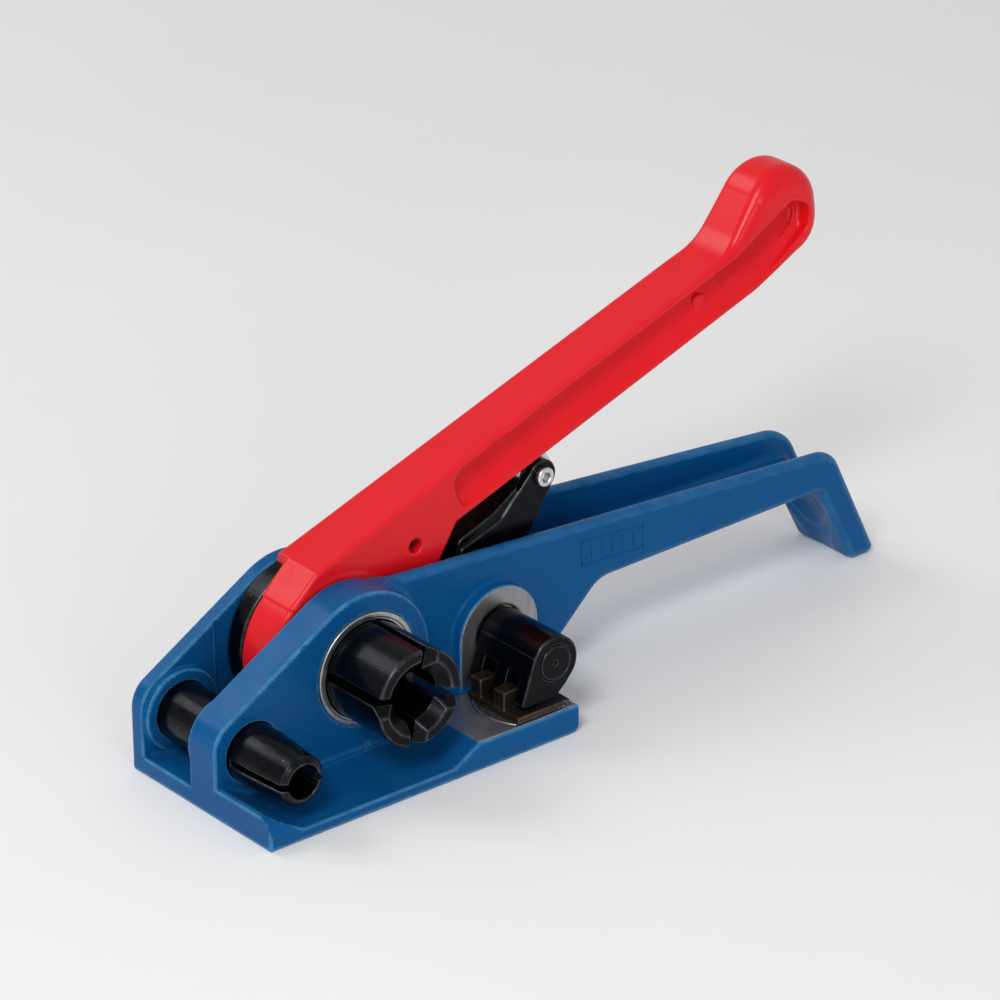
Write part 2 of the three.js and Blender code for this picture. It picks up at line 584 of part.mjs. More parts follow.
// ---------- assembly ----------
piece('frame_body', frameBody(), BLUE);
piece('anvil_insert', anvilBlock(), BRIGHT_STEEL);
piece('guide_pin', guidePin(), BLACK_STEEL);
piece('guide_pin_set_screw', setScrew(), BLACK_STEEL);
piece('near_bearing_bush', tube(WINDLASS, DRUM_R + GAP, BUSH_R, NEAR_OUT - 0.5, NEAR_IN - 0.5), BRIGHT_STEEL);
piece('far_bearing_bush', tube(WINDLASS, SHAFT_R + GAP, 15.2, FAR_IN, FAR_OUT + 0.1), BRONZE);
piece('holding_pawl', holdingPawl(), BLACK_STEEL);
piece('holding_pawl_pin', rod(HOLD_PIVOT, 2.5, 10, 24.8, 20), BRIGHT_STEEL);
piece('holding_pawl_spring', wire(
  coil('z', { x: 31.5, y: 14 }, 2.2, FLOOR_Z + 0.9, 18, 3.5), 0.45, 38), BRIGHT_STEEL);
piece('ratchet_guard', ratchetGuard(), BLACK_STEEL);
guardScrewPlaces().forEach((at, i) => piece(`guard_screw_${i + 1}`, guardScrew(at), BLACK_STEEL));

piece('windlass_shaft', windlassShaft(), BLACK_STEEL);
piece('ratchet_wheel', ratchetWheel(), BLACK_STEEL);
piece('wheel_key', keyBlock(0), BRIGHT_STEEL);
piece('shaft_washer', tube(WINDLASS, SHAFT_R + GAP, 17.5, 25.5, 26.7), BRIGHT_STEEL);
piece('shaft_circlip', circlip(WINDLASS, 11.1, 14.2, 27.1, 28.2), BLACK_STEEL);

piece('lever', lever(), RED);
piece('lever_bush', tube(WINDLASS, SHAFT_R + GAP, 15, LEVER_NEAR - 0.2, HEAD_FAR + 0.1), BRONZE);
piece('drive_pawl', drivePawl(), BLACK_STEEL);
piece('drive_pawl_pin', rod(DRIVE_PIVOT, 2.6, -4, 16.9, 20), BLACK_STEEL);
piece('drive_pawl_spring', wire(
  coil('z', { x: 43.4, y: 12.6 }, 2, 74.3, 84, 3.5), 0.45, 38), BRIGHT_STEEL);

piece('gripper_shaft', cut(gripperShaft(), crossPin(2 + GAP)), BLACK_STEEL);
piece('gripper_near_bush',
  tube(GRIPPER, GRIP_SHAFT_R + GAP, 10.5, BOSS_FACE + 2, HANDLE_NEAR_IN + 1.9), BRONZE);
piece('gripper_far_bush',
  tube(GRIPPER, GRIP_SHAFT_R + GAP, 10.5, HANDLE_FAR_IN - 1.5, HANDLE_FAR_OUT), BRONZE);
piece('gripper_circlip', circlip(GRIPPER, 7.2, 10, 24.05, 25.15), BLACK_STEEL);
piece('gripper_arm', gripperArm(), BLACK_STEEL);
piece('gripper_foot', gripperFoot(), BROWN_STEEL);
piece('foot_pin', rod(FOOT_PIVOT, 1.5, -51.6, -27.9, 16), BRIGHT_STEEL);
piece('release_yoke', releaseYoke(), BLACK_STEEL);
piece('yoke_cross_pin', crossPin(2, 24), BRIGHT_STEEL);
piece('yoke_roller',
  tube(ROLLER, 3.5, ROLLER_R, YOKE.y0 + YOKE.cheek + GAP, YOKE.y1 - YOKE.cheek - GAP), ZINC);
piece('roller_screw', rollerScrew(), ZINC);
piece('roller_nut', rollerNut(), ZINC);
piece('gripper_spring', wire(
  coil('y', GRIPPER, 11.4, YOKE.y1 + 1.4, HANDLE_FAR_IN - 2.9, 3.5, rad(250)), 0.85, 42), BRIGHT_STEEL);

export default group;
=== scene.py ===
"""Looks of a hand strapping tensioner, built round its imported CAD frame.

The castings and the machined parts are smooth surfaces of distance fields. A field is a function of
row coordinates in millimetres that is negative inside the solid, so fillets and rounded edges are part
of it. Each surface replaces the CAD node of the same piece and rides on that node's body.
"""

import json
import math

import bpy
import numpy as np
from mathutils import Matrix, Vector

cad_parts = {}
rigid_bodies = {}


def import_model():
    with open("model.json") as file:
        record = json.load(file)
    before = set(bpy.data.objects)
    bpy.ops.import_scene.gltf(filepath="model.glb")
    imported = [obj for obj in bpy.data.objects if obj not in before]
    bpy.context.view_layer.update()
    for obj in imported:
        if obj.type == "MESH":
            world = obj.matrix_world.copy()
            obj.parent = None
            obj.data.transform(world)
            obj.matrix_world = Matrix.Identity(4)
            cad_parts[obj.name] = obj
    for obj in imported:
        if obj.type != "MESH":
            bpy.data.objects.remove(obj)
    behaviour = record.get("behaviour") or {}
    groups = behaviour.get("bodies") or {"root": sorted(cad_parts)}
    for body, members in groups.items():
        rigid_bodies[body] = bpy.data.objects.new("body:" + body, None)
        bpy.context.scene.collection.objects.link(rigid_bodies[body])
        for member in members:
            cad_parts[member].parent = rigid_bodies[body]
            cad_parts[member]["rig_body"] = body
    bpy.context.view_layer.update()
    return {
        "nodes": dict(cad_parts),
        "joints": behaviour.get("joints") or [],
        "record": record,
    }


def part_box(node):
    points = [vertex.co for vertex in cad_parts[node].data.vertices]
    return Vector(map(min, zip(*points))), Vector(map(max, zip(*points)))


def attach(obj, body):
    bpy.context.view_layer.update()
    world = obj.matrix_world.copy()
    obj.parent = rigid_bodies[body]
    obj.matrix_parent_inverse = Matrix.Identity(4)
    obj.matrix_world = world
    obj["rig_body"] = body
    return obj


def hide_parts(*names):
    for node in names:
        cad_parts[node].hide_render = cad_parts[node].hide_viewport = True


MM = 0.001                       # Blender's metres in one millimetre

# ---------- driving dimensions, in millimetres ----------
FRONT_X = -68.8                  # front face of the frame
LEDGE_REAR_X = 72.2
LEDGE_Y = -57.0
LIP_Z, LEDGE_Z, PLATFORM_Z, FLOOR_Z, POCKET_Z = 11.5, 4.2, 11.2, 6.6, 3.6
NEAR_OUT, NEAR_IN, FAR_IN, FAR_OUT = -25.0, -9.7, 18.5, 25.0
HANDLE_NEAR_OUT, HANDLE_NEAR_IN, HANDLE_FAR_IN, HANDLE_FAR_OUT = -17.1, -11.7, 17.2, 22.6
TAPER_X, TAPER = 60.0, 7 / 170   # the far handle wall draws in from TAPER_X
BOSS_RADIUS, BOSS_DX, BOSS_DZ = 29.4, -0.9, 0.2
NOSE_SLOPE = math.radians(30.4)
TOP_Z, TOP_X, TOP_FALL = 62.0, 40.0, 0.0663
UNDER_Z, WEB = 32.2, 5.0
DRUM_R, DRUM_END = 18.65, -55.5
SLOT, SLOT_TILT = 3.8, math.radians(10.5)
SHAFT_R, BUSH_R = 12.0, 21.8
GUIDE_R, GUIDE_END = 11.2, -55.0
GUARD_R, GUARD_WALL, GUARD_Y0, GUARD_Y1 = 30.5, 1.7, 9.6, 18.2
LEVER_NEAR, LEVER_FAR, HEAD_FAR, HEAD_R = -8.8, 14.7, 9.0, 31.5
LEVER_TAPER, HEAD_FRONT_X = 0.01, -9.2
ARM_SLOPE, ARM_TOP, ARM_DEPTH = 0.3526, 74.6, 22.3
TIP_X, TIP_Z, TIP_R = 214.5, 149.7, 17.6
GROOVE_DEPTH, GROOVE_BEND, POCKET_BEND = 7.0, 24.0, 17.0
BOSS_FACE, ARM_END, ARM_R, PIN_R = -22.0, -53.8, 10.3, 6.8
FOOT_X0, FOOT_X1, FOOT_Y0, FOOT_Y1, FOOT_Z0, FOOT_Z1 = 43.8, 68.0, -56.3, -27.2, 11.5, 14.3
LUG_YS, LUG_WIDTH, LUG_DEPTH, LUG_TOP = (-48.2, -34.9), 6.0, 7.8, 21.2
ANVIL_X, ANVIL_Y, ANVIL_R = 60.8, -42.0, 21.0
YOKE_Y0, YOKE_Y1, CHEEK = -9.0, 7.0, 4.0
ROLLER_R = 7.8
TOOTH_PITCH, TOOTH_DEPTH = 2.0, 1.1
BOSS_HALF = 18.4                 # half width of the gripper boss
FOOT_BORE = 1.8                  # radius of the bore for the foot's pin
ROLLER_BORE = 3.5
GUARD_FROM, GUARD_TO = math.radians(92), math.radians(300)
PLATE_CORNER, PLATE_WIDTH, PLATE_HEIGHT = (106.9, 41.1), 29.6, 9.2

# ---------- looks and light ----------
TOOL_MARKS = (900, 40, 900)      # scale of the cutting marks along each axis
EDGE_BEND = (0.12, 0.75)         # bend of a surface, in 1/mm, from which an edge begins and is full
PLAIN_EDGE = 0.25                # edge width of the CAD nodes that stay in view
WORLD_STRENGTH = 0.5
LIGHTS = (                       # name, place, size, power
    ("key", (-1.1, -0.8, 1.5), 0.7, 15),
    ("back", (-0.55, 1.2, 1.35), 0.9, 7),
    ("fill", (-0.6, -1.9, 0.7), 0.7, 6),
)

# ---------- camera ----------
AIM = (0.06253, -0.02404, 0.08401)
CAMERA_DISTANCE = 1.97327
CAMERA_AZIMUTH, CAMERA_ELEVATION, CAMERA_ROLL = -39.058, 25.545, -0.567   # degrees
CAMERA_LENS = 197.09             # on a 36 mm sensor


# ---------- distance fields ----------
def rounded_points(corners, turn_step=math.radians(3)):
    """A closed outline through [x, z, radius] corners as points, each corner rounded by its radius."""
    points = []
    for i, corner in enumerate(corners):
        radius = corner[2] if len(corner) > 2 else 0
        here = np.array(corner[:2], float)
        if radius == 0:
            points.append(here)
            continue
        before = np.array(corners[i - 1][:2], float) - here
        after = np.array(corners[(i + 1) % len(corners)][:2], float) - here
        before /= np.hypot(*before)
        after /= np.hypot(*after)
        half = math.acos(np.clip(before @ after, -1, 1)) / 2
        start = here + before * radius / math.tan(half)
        end = here + after * radius / math.tan(half)
        middle = (before + after) / np.hypot(*(before + after)) * radius / math.sin(half) + here
        first = math.atan2(*(start - middle)[::-1])
        sweep = (math.atan2(*(end - middle)[::-1]) - first + math.pi) % (2 * math.pi) - math.pi
        count = max(2, round(abs(sweep) / turn_step))
        for angle in first + sweep * np.arange(count + 1) / count:
            points.append(middle + radius * np.array([math.cos(angle), math.sin(angle)]))
    return np.array(points)


def flat(corners):
    """The signed distance to a rounded outline in the X-Z plane, as a function of x and z."""
    points = rounded_points(corners)

    def distance(x, z):
        x, z = np.broadcast_arrays(x, z)
        nearest = np.full(x.shape, np.inf)
        inside = np.zeros(x.shape, bool)
        for (ax, az), (bx, bz) in zip(points, np.roll(points, -1, axis=0)):
            ex, ez = bx - ax, bz - az
            px, pz = x - ax, z - az
            t = np.clip((px * ex + pz * ez) / max(ex * ex + ez * ez, 1e-12), 0, 1)
            nearest = np.minimum(nearest, (px - t * ex) ** 2 + (pz - t * ez) ** 2)
            if az != bz:
                inside ^= ((az > z) != (bz > z)) & (px < pz * ex / ez)
        return np.where(inside, -1, 1) * np.sqrt(nearest)

    return distance


def slab(v, low, high):
    return np.abs(v - (low + high) / 2) - (high - low) / 2


def both(a, b, r=0.0):
    """What is inside a and b, with the edge between them rounded by radius r."""
    return np.minimum(np.maximum(a, b), -r) + np.hypot(np.maximum(a + r, 0), np.maximum(b + r, 0))


def either(a, b, r=0.0):
    """What is inside a or b, with a fillet of radius r where they meet."""
    return -both(-a, -b, r)


def without(a, b, r=0.0):
    return both(a, -b, r)


def ring(at, x, z):
    """Distance from the axis along Y through at."""
    return np.hypot(x - at[0], z - at[1])


def block(x, y, z, low, high, r=0.0):
    sides = both(slab(x, low[0], high[0]), slab(y, low[1], high[1]), r)
    return both(sides, slab(z, low[2], high[2]), r)


def disc(at, radius, y0, y1, x, y, z, r=0.0):
    return both(ring(at, x, z) - radius, slab(y, y0, y1), r)


def ease(v, low, high):
    """0 below low, 1 above high, and smooth between them."""
    t = np.clip((v - low) / (high - low), 0, 1)
    return t * t * (3 - 2 * t)


# ---------- surfaces ----------
def crossings(value, axis):
    """Where the field changes sign along one grid axis: lower nodes, share of the way, and side."""
    lower, upper = [slice(None)] * 3, [slice(None)] * 3
    lower[axis], upper[axis] = slice(0, -1), slice(1, None)
    a, b = value[tuple(lower)], value[tuple(upper)]
    cross = (a < 0) != (b < 0)
    a, b = a[cross], b[cross]
    return np.argwhere(cross), a / (a - b), a < 0


def net(value):
    """Points, in grid steps, and quads of the surface where a sampled field is zero."""
    cells = np.array(value.shape) - 1
    total, count, quads = np.zeros((3, cells.prod())), np.zeros(cells.prod()), []
    for axis in range(3):
        nodes, share, leaving = crossings(value, axis)
        points = nodes.astype(float)
        points[:, axis] += share
        around = []
        for first, second in ((-1, -1), (0, -1), (0, 0), (-1, 0)):
            cell = nodes.copy()
            cell[:, (axis + 1) % 3] += first
            cell[:, (axis + 2) % 3] += second
            around.append(np.ravel_multi_index(cell.T, cells))
        every = np.concatenate(around)
        count += np.bincount(every, minlength=len(count))
        for i in range(3):
            total[i] += np.bincount(every, np.tile(points[:, i], 4), len(count))
        quad = np.stack(around, axis=1)
        quad[~leaving] = quad[~leaving][:, ::-1]
        quads.append(quad)
    used = np.flatnonzero(count)
    index = np.zeros(len(count), int)
    index[used] = np.arange(len(used))
    return (total[:, used] / count[used]).T, index[np.concatenate(quads)]


def slopes(field, points, reach):
    """The field, its gradient and its Laplacian at points. The Laplacian is the bend of the surface."""
    here = field(*points.T)
    gradient, bend = np.zeros(points.shape), -6 * here
    for i in range(3):
        shift = np.zeros(3)
        shift[i] = reach
        ahead, behind = field(*(points + shift).T), field(*(points - shift).T)
        gradient[:, i] = (ahead - behind) / (2 * reach)
        bend = bend + ahead + behind
    return here, gradient, bend / reach ** 2


def surface(field, low, high, step, turn, about):
    """The zero surface of a field inside a box, which may be turned in the X-Z plane about a point."""
    margin = 1.6 * step
    axes = [np.arange(a - margin, b + margin + step, step) for a, b in zip(low, high)]
    c, s = math.cos(turn), math.sin(turn)
    u, y, w = np.meshgrid(*axes, indexing="ij", sparse=True)
    value = field(about[0] + u * c - w * s, y, about[1] + u * s + w * c)
    steps, quads = net(np.broadcast_to(value, [len(a) for a in axes]))
    grid = steps * step + [a[0] for a in axes]
    points = np.stack([about[0] + grid[:, 0] * c - grid[:, 2] * s, grid[:, 1],
                       about[1] + grid[:, 0] * s + grid[:, 2] * c], axis=1)
    for _ in range(2):
        here, gradient, _bend = slopes(field, points, 0.05)
        length = np.maximum((gradient ** 2).sum(1), 0.2)
        move = gradient * (here / length)[:, None]
        far = np.maximum(np.sqrt((move ** 2).sum(1)) / (0.7 * step), 1)
        points = points - move / far[:, None]
    _here, gradient, bend = slopes(field, points, 0.25)
    return points, quads, gradient, bend


def carve(name, field, node, material, step=0.4, turn=0.0, about=(0.0, 0.0)):
    """Makes the surface of a field over the box of a CAD node, in place of that node."""
    c, s = math.cos(turn), math.sin(turn)
    vertices = np.array([v.co for v in FRAME["nodes"][node].data.vertices]) / MM
    x, z = vertices[:, 0] - about[0], vertices[:, 2] - about[1]
    box = np.stack([x * c + z * s, vertices[:, 1], z * c - x * s])
    points, quads, normals, bend = surface(field, box.min(1), box.max(1), step, turn, about)
    piece = mesh_piece(name, points, quads, material)
    # edge: how sharply the surface bends outwards; the materials use it for painted edge highlights
    edge = piece.data.attributes.new("edge", "FLOAT", "POINT")
    edge.data.foreach_set("value", ease(bend, *EDGE_BEND).astype(np.float32))
    normals /= np.maximum(np.sqrt((normals ** 2).sum(1)), 1e-6)[:, None]
    piece.data.normals_split_custom_set_from_vertices(normals.tolist())
    return stand_for(piece, node)


def mesh_piece(name, points, faces, material):
    mesh = bpy.data.meshes.new(name)
    mesh.from_pydata((np.asarray(points) * MM).tolist(), [], np.asarray(faces).tolist())
    mesh.shade_smooth()
    mesh.materials.append(material)
    piece = bpy.data.objects.new(name, mesh)
    bpy.context.scene.collection.objects.link(piece)
    return piece


def stand_for(piece, *nodes):
    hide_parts(*nodes)
    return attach(piece, FRAME["nodes"][nodes[0]]["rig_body"])


# ---------- frame casting ----------
def top_z(x):
    return TOP_Z - (x - TOP_X) * TOP_FALL


def handle_side(rear_radius):
    return flat([
        [10, 0], [81.6, 0, 3], [116, UNDER_Z, 13], [226, UNDER_Z + 1.8, 3.5], [243.2, 0, 2.5],
        [256.2, 0, 2.5], [233, top_z(233), rear_radius], [-8, top_z(-8), 2], [-8, 40],
    ])


def nose_field():
    x, z = WINDLASS[0] + BOSS_DX, WINDLASS[1] + BOSS_DZ
    corner_z = z + BOSS_RADIUS / math.cos(NOSE_SLOPE) - (x - FRONT_X) * math.tan(NOSE_SLOPE)
    top = [x - BOSS_RADIUS * math.sin(NOSE_SLOPE), z + BOSS_RADIUS * math.cos(NOSE_SLOPE)]
    corner = flat([[FRONT_X, 0], [x, 0], [x, z], top, [FRONT_X, corner_z, 12]])
    foot = flat([[x, 0], [x + BOSS_RADIUS, 0], [x + BOSS_RADIUS, z], [x, z]])
    return lambda px, pz: np.minimum(
        np.minimum(corner(px, pz), foot(px, pz)), ring((x, z), px, pz) - BOSS_RADIUS)


def frame_casting():
    near_side, far_side = handle_side(12), handle_side(16)
    channel = flat([
        [-60, FLOOR_Z], [81.4, FLOOR_Z, 8], [114.6, UNDER_Z + WEB, 10],
        [230.5, UNDER_Z + WEB + 1.8, 6], [250.4, -3], [280, -3], [280, 90], [-60, 90],
    ])
    nose = nose_field()
    ledge = flat([
        [FRONT_X, 0], [LEDGE_REAR_X, 0, 3], [LEDGE_REAR_X, PLATFORM_Z, 2], [25.9, PLATFORM_Z, 2],
        [14, LEDGE_Z, 5], [-53.5, LEDGE_Z, 10], [-66.6, LIP_Z, 1.2], [FRONT_X, LIP_Z, 0.8],
    ])
    boss_sides = flat([
        [GRIPPER[0] - BOSS_HALF, 5], [GRIPPER[0] + 8, 5], [GRIPPER[0] + BOSS_HALF, GRIPPER[1]],
        [GRIPPER[0] - BOSS_HALF, GRIPPER[1]],
    ])

    def handle(side, x, y, z):
        draw = np.maximum(x - TAPER_X, 0) * TAPER
        solid = both(side, slab(y, HANDLE_NEAR_OUT, HANDLE_FAR_OUT - draw), 2.7)
        across = slab(y, HANDLE_NEAR_IN, HANDLE_FAR_IN - draw)
        solid = without(solid, both(channel(x, z), across, 3.2), 2.2)
        return without(solid, hook_scoop(x, y, z), 1.2)

    def hook_scoop(x, y, z):
        """A shallow trough down the front of the hook's plate, which runs out towards its foot."""
        before = ((226 - x) * 34 + (34 - z) * 17.2) / 38.1
        trough = np.hypot(y - 0.6, before - 28.2 + 3.2 * ease(z, 3, 22)) - 28.2
        return both(trough, z - 30.5, 5)

    def base(x, y, z):
        floor = block(x, y, z, (FRONT_X, NEAR_OUT, 0), (LEDGE_REAR_X, FAR_OUT, FLOOR_Z), 1)
        corner = both(LEDGE_Y - y, z - LIP_Z, 6.5)
        side = both(ledge(x, z), slab(y, LEDGE_Y, NEAR_OUT + 6), 0.9)
        side = np.where(x < 0, np.maximum(side, corner), side)
        rear = block(x, y, z, (20, NEAR_OUT - 2, 0), (LEDGE_REAR_X, HANDLE_NEAR_OUT + 2, PLATFORM_Z), 1)
        return np.minimum(np.minimum(floor, side), rear)

    def bosses(x, y, z):
        gripper = both(
            np.minimum(ring(GRIPPER, x, z) - BOSS_HALF, boss_sides(x, z)),
            slab(y, BOSS_FACE, HANDLE_NEAR_OUT + 3), 0.7)
        inner = np.minimum(disc(GRIPPER, 14, HANDLE_NEAR_IN - 2, HANDLE_NEAR_IN + 2, x, y, z, 0.6),
                           disc(GRIPPER, 14, HANDLE_FAR_IN - 1.7, HANDLE_FAR_IN + 2, x, y, z, 0.6))
        guide = np.minimum(disc(GUIDE, 16, NEAR_IN - 3, NEAR_IN + 2.2, x, y, z, 0.8),
                           disc(GUIDE, 16, FAR_IN - 2.3, FAR_IN + 3, x, y, z, 0.8))
        return gripper, np.minimum(inner, guide)

    def bores(x, y, z):
        holes = [
            disc(WINDLASS, BUSH_R, NEAR_OUT - 9, NEAR_IN + 9, x, y, z),
            disc(WINDLASS, 15.5, FAR_IN - 9, FAR_OUT + 9, x, y, z),
            disc(GUIDE, GUIDE_R + 0.2, NEAR_OUT - 9, FAR_OUT + 9, x, y, z),
            disc(GRIPPER, 10.8, BOSS_FACE - 9, FAR_OUT + 9, x, y, z),
        ]
        return np.minimum.reduce(np.broadcast_arrays(*holes))

    def anvil_pocket(x, y, z):
        round_edge = np.hypot(x - ANVIL_X, y - ANVIL_Y) - ANVIL_R - 0.15
        return both(np.maximum(round_edge, 6.9 - z), block(x, y, z, (30, -54.7, 0), (67.6, -28.4, 30)))

    def field(x, y, z):
        plates = np.minimum(both(nose(x, z), slab(y, NEAR_OUT, NEAR_IN), 0.9),
                            both(nose(x, z), slab(y, FAR_IN, FAR_OUT), 0.9))
        gripper, inner = bosses(x, y, z)
        side = np.where(y < 0, near_side(x, z), far_side(x, z))
        body = either(plates, handle(side, x, y, z), 4)
        body = np.maximum(body, np.minimum(nose(x, z), side))
        body = either(body, base(x, y, z), 1.6 * ease(x, FRONT_X + 1, FRONT_X + 7))
        body = either(either(body, gripper, 1.2), inner, 1.0)
        outside = both(FRONT_X - x, -z, 0.8)
        body = np.maximum(body, np.maximum(outside, y - FAR_OUT))
        room = np.minimum(block(x, y, z, (-24, NEAR_IN, POCKET_Z), (20, FAR_IN, 30)),
                          block(x, y, z, (-35, NEAR_IN, FLOOR_Z), (45, FAR_IN, 120)))
        body = without(body, room, 0.9)
        body = without(body, bores(x, y, z), 0.7)
        return without(body, anvil_pocket(x, y, z), 0.2)

    return field


# ---------- windlass, guide pin ----------
def windlass_drum():
    shoulder = NEAR_IN - 0.2

    def slots(x, y, z):
        """Two crossed slots, each with one lip cut back at the mouth to lead the band in."""
        dx, dz = x - WINDLASS[0], z - WINDLASS[1]
        cuts = []
        for turn in (SLOT_TILT, SLOT_TILT + math.pi / 2):
            across = dx * math.sin(turn) + dz * math.cos(turn)
            side = -1 if turn == SLOT_TILT else 1
            lead = (across * side - SLOT / 2 - 3.6 + y - DRUM_END) / math.sqrt(2)
            lead = np.maximum(lead, -across * side)
            cuts.append(np.minimum(np.maximum(np.abs(across) - SLOT / 2, y - DRUM_END - 31), lead))
        return np.minimum(*cuts)

    def field(x, y, z):
        r = ring(WINDLASS, x, z)
        drum = both(r - DRUM_R, slab(y, DRUM_END, shoulder), 0.9)
        body = np.minimum(drum, both(r - SHAFT_R, slab(y, shoulder - 2, 30.2), 0.8))
        groove = np.maximum(10.8 - r, slab(y, 27, 28.3))
        bore = np.maximum(r - 9.75, y + 20.5)
        mouth = ((r - 14.4) + (y - DRUM_END) * 1.2) / 1.562
        body = without(body, np.minimum(bore, mouth), 0.3)
        return without(without(body, groove), slots(x, y, z), 0.35)

    return field


def guide_pin():
    def field(x, y, z):
        r = ring(GUIDE, x, z)
        body = both(r - GUIDE_R, slab(y, GUIDE_END, FAR_OUT - 0.4), 0.8)
        cone = (r - 9.9 - (y - GUIDE_END) * 0.19) / 1.018
        body = both(body, cone, 4)
        bore = np.maximum(r - 6.5, y - GUIDE_END - 25)
        body = without(body, bore, 0.7)
        slit = np.maximum(np.abs(z - GUIDE[1]) - 1.2, y - NEAR_OUT + 1.5)
        return without(body, slit, 0.4)

    return field


def ratchet_guard():
    def field(x, y, z):
        r = ring(WINDLASS, x, z)
        angle = np.arctan2(z - WINDLASS[1], x - WINDLASS[0])
        from_low = np.sin(angle - GUARD_FROM) * r
        from_high = np.sin(GUARD_TO - angle) * r
        sector = np.minimum(-from_low, -from_high)
        shell = both(r - GUARD_R, slab(y, GUARD_Y0, GUARD_Y1), 1.1)
        inner = both(r - GUARD_R + GUARD_WALL, GUARD_Y0 + 1 - y, 0.8)
        shell = without(shell, inner, 0.3)
        shell = without(shell, r - 15.8, 0.3)
        return both(shell, sector, 0.5)

    return field


# ---------- lever ----------
def arm_top(x):
    return ARM_TOP + ARM_SLOPE * x


def lever_casting():
    def under(x, up=0.0):
        return arm_top(x) - ARM_DEPTH + up

    arm = flat([
        [HEAD_FRONT_X, arm_top(HEAD_FRONT_X), 1.2], [186, arm_top(186), 24],
        [TIP_X - 14.3, TIP_Z + 10.2], [TIP_X, TIP_Z], [TIP_X + 8, TIP_Z - 15.5], [200, under(200), 30],
        [55.1, under(55.1), 3], [46.8, 58.5], [30, 30], [0, WINDLASS[1]], [-20.8, 60.6],
    ])

    def groove(x0):
        return flat([
            [x0, arm_top(x0) - 2.6, 7], [190, arm_top(190) - 3, 12], [217, 154.5, 5],
            [226.8, 150, 5], [224.6, 141, 6], [203, under(203, 2), 12], [x0 + 5.5, under(x0 + 5.5, 2), 6],
        ])

    near_groove, far_groove = groove(52.5), groove(60)
    deep = flat([
        [184, arm_top(184) - 4.2, 5], [190, arm_top(190) - 4.4, 12], [216, 151.5, 3],
        [224, 148, 3], [222, 142.6, 5], [203, under(203, 4.4), 10], [186, under(186, 4.4), 5],
    ])
    track = flat([
        [78, under(78, -4)], [128, under(128, -4)], [128, under(128, 1.7)], [78, under(78, 1.7)],
    ])
    pawl_room = flat([
        [-60, arm_top(-60) - 4.2], [49, arm_top(49) - 4.2], [52, 60], [40, 20], [-60, 0],
    ])

    def hollow(x, y, z, depth, bend):
        """Round trough along the arm, deepest under the arm's top edge."""
        down = (arm_top(x) - 2.6 - z) * math.cos(math.atan(ARM_SLOPE))
        return np.hypot(down, y - depth + bend) - bend

    def upper_share(x, z):
        return ease(z - arm_top(x) + 12, -9, 8)

    def softness(x, y, z):
        """Edge rounding: small along the arm, large at the upper edges of the tip."""
        return 1.5 + np.where(y < 2, 6.3, 3) * ease(x, 170, 214) * upper_share(x, z)

    def recesses(x, y, z):
        near = both(near_groove(x, z), hollow(x, y, z, LEVER_NEAR + GROOVE_DEPTH, GROOVE_BEND), 1.6)
        far_y = LEVER_NEAR - (y - LEVER_FAR + LEVER_TAPER * x)
        far = both(far_groove(x, z), hollow(x, far_y, z, LEVER_NEAR + GROOVE_DEPTH, GROOVE_BEND), 1.6)
        pocket = both(deep(x, z), hollow(x, y, z, LEVER_NEAR + GROOVE_DEPTH + 1.9, POCKET_BEND), 1.2)
        return np.minimum(near, far), pocket

    def field(x, y, z):
        bulb = ring((TIP_X, TIP_Z), x, z) - TIP_R
        width = slab(y, LEVER_NEAR, LEVER_FAR - LEVER_TAPER * x)
        body = both(np.minimum(arm(x, z), bulb), width, softness(x, y, z))
        head = disc(WINDLASS, HEAD_R, LEVER_NEAR, HEAD_FAR, x, y, z, 2.2)
        body = either(body, head, 1.0)
        grooves, pocket = recesses(x, y, z)
        body = without(without(body, grooves, 1.1), pocket, 0.7)
        pip = disc((174.5, 123.8), 3.0, -4.9, -2.5, x, y, z, 0.6)
        body = either(body, pip, 0.6)
        body = without(body, np.maximum(track(x, z), slab(y, -5.6, 3.6)), 0.6)
        clear = both(ring(WINDLASS, x, z) - HEAD_R - 0.3, slab(y, HEAD_FAR, 30))
        body = without(body, np.maximum(np.maximum(clear, z - 67), slab(x, -60, 60)), 0.4)
        body = without(body, np.maximum(pawl_room(x, z), HEAD_FAR - y), 0.6)
        body = without(body, np.maximum(x - HEAD_FRONT_X, HEAD_FAR - y), 0.5)
        body = without(body, ring(WINDLASS, x, z) - 15.1, 0.6)
        hole = np.maximum(ring(DRIVE_PIVOT, x, z) - 2.75, y - 20)
        return without(body, hole, 0.8)

    return field


# ---------- gripper ----------
def gripper_arm():
    x0, z0 = GRIPPER
    tail = flat([
        [x0 - 9.6, z0 + 4.4], [47.4, 15.2, 1.5], [58.6, 14.7, 2], [63.8, 15.6, 2.5], [68.6, 19.6, 4],
        [x0 + 9.4, z0 - 4.2], [x0, z0 + 6],
    ])

    def field(x, y, z):
        outline = np.minimum(ring(GRIPPER, x, z) - ARM_R, tail(x, z))
        body = both(outline, slab(y, ARM_END, BOSS_FACE - 0.4), 0.6)
        for lug_y in LUG_YS:
            room = block(x, y, z, (40, lug_y - 0.4, 10), (52.4, lug_y + LUG_WIDTH + 0.4, 26.6))
            body = without(body, room, 0.35)
        body = without(body, ring(GRIPPER, x, z) - PIN_R - 0.2, 0.3)
        return without(body, np.maximum(ring(FOOT_PIVOT, x, z) - FOOT_BORE, slab(y, -52, -27.5)))

    return field


